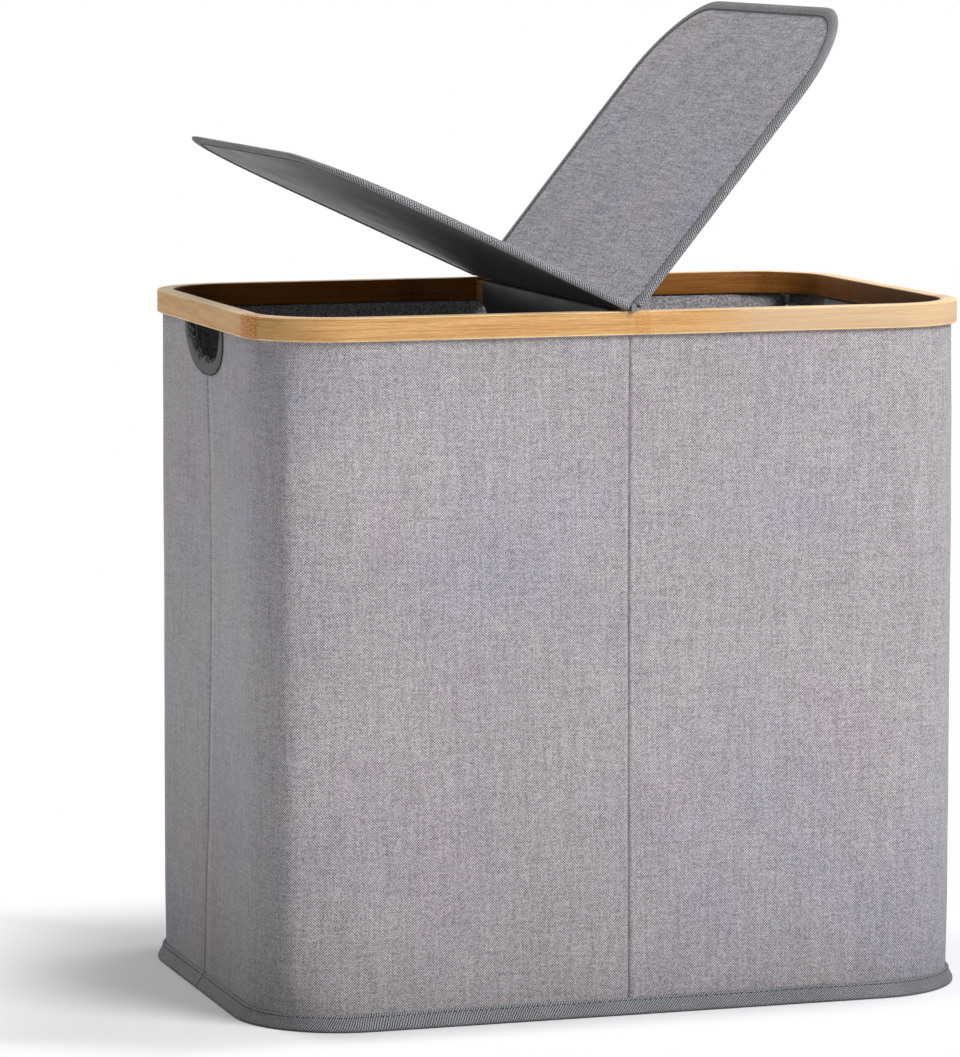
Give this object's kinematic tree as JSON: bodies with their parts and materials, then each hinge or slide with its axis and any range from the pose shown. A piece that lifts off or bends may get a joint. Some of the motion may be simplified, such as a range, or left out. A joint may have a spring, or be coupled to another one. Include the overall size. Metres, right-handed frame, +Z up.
{
  "type": "laundry hamper",
  "caption": "Rounded rectangular cloth laundry hamper with a bamboo rim, a hanging divider between its bins, hand holes in its ends and a stiff hinged lid flap over each bin.",
  "frame": {"origin": "on the floor, under the middle of the hamper's body", "axes": "+Z up, +X to the right seen from the front, +Y to the back; the crossbar and both lid hinges run along Y"},
  "size_m": [0.6108, 0.4108, 0.7955],
  "materials": {
    "bamboo": "satin lacquer over laminated bamboo",
    "heather_cloth": "heather grey plain weave, matt",
    "lining_cloth": "grey flecked plain weave, matt",
    "dark_cloth": "smooth dark grey lining cloth",
    "twill_tape": "grey twill binding tape",
    "hook_tape": "hook and loop tape",
    "stiff_board": "raw pressed board",
    "rod_metal": "bare drawn rod",
    "cap_plastic": "moulded, matt"
  },
  "bodies": {
    "root": {"rim_hoop": "bamboo", "crossbar": "bamboo", "dowel_front": "bamboo", "dowel_back": "bamboo", "shell_front_left": "heather_cloth", "shell_front_right": "heather_cloth", "shell_back_left": "heather_cloth", "shell_back_right": "heather_cloth", "lining_left": "lining_cloth", "lining_right": "lining_cloth", "handle_trim_left": "twill_tape", "handle_trim_right": "twill_tape", "base_cloth": "lining_cloth", "base_board_left": "stiff_board", "base_board_right": "stiff_board", "base_lining": "lining_cloth", "hem_binding": "twill_tape", "corner_rod_front_left": "rod_metal", "corner_rod_front_right": "rod_metal", "corner_rod_back_left": "rod_metal", "corner_rod_back_right": "rod_metal", "rod_sleeve_front_left": "lining_cloth", "rod_sleeve_front_right": "lining_cloth", "rod_sleeve_back_left": "lining_cloth", "rod_sleeve_back_right": "lining_cloth", "rod_foot_front_left": "cap_plastic", "rod_foot_front_right": "cap_plastic", "rod_foot_back_left": "cap_plastic", "rod_foot_back_right": "cap_plastic", "rod_cap_front_left": "cap_plastic", "rod_cap_front_right": "cap_plastic", "rod_cap_back_left": "cap_plastic", "rod_cap_back_right": "cap_plastic", "divider_cover": "dark_cloth", "divider_board": "stiff_board", "divider_hook_tape": "hook_tape", "lid_centre_strip": "twill_tape"},
    "lid_left": {"lid_left_board": "stiff_board", "lid_left_cover": "heather_cloth", "lid_left_lining": "dark_cloth", "lid_left_binding": "twill_tape"},
    "lid_right": {"lid_right_board": "stiff_board", "lid_right_cover": "heather_cloth", "lid_right_lining": "dark_cloth", "lid_right_binding": "twill_tape"}
  },
  "joints": [
    {"name": "lid_left_hinge", "type": "hinge", "parent": "root", "child": "lid_left", "pos_m": [-0.0024, 0, 0.5683], "axis": [0, 1, 0], "range_deg": [-24.8, 65.2]},
    {"name": "lid_right_hinge", "type": "hinge", "parent": "root", "child": "lid_right", "pos_m": [0.0024, 0, 0.5683], "axis": [0, -1, 0], "range_deg": [-50.6, 39.4]}
  ]
}
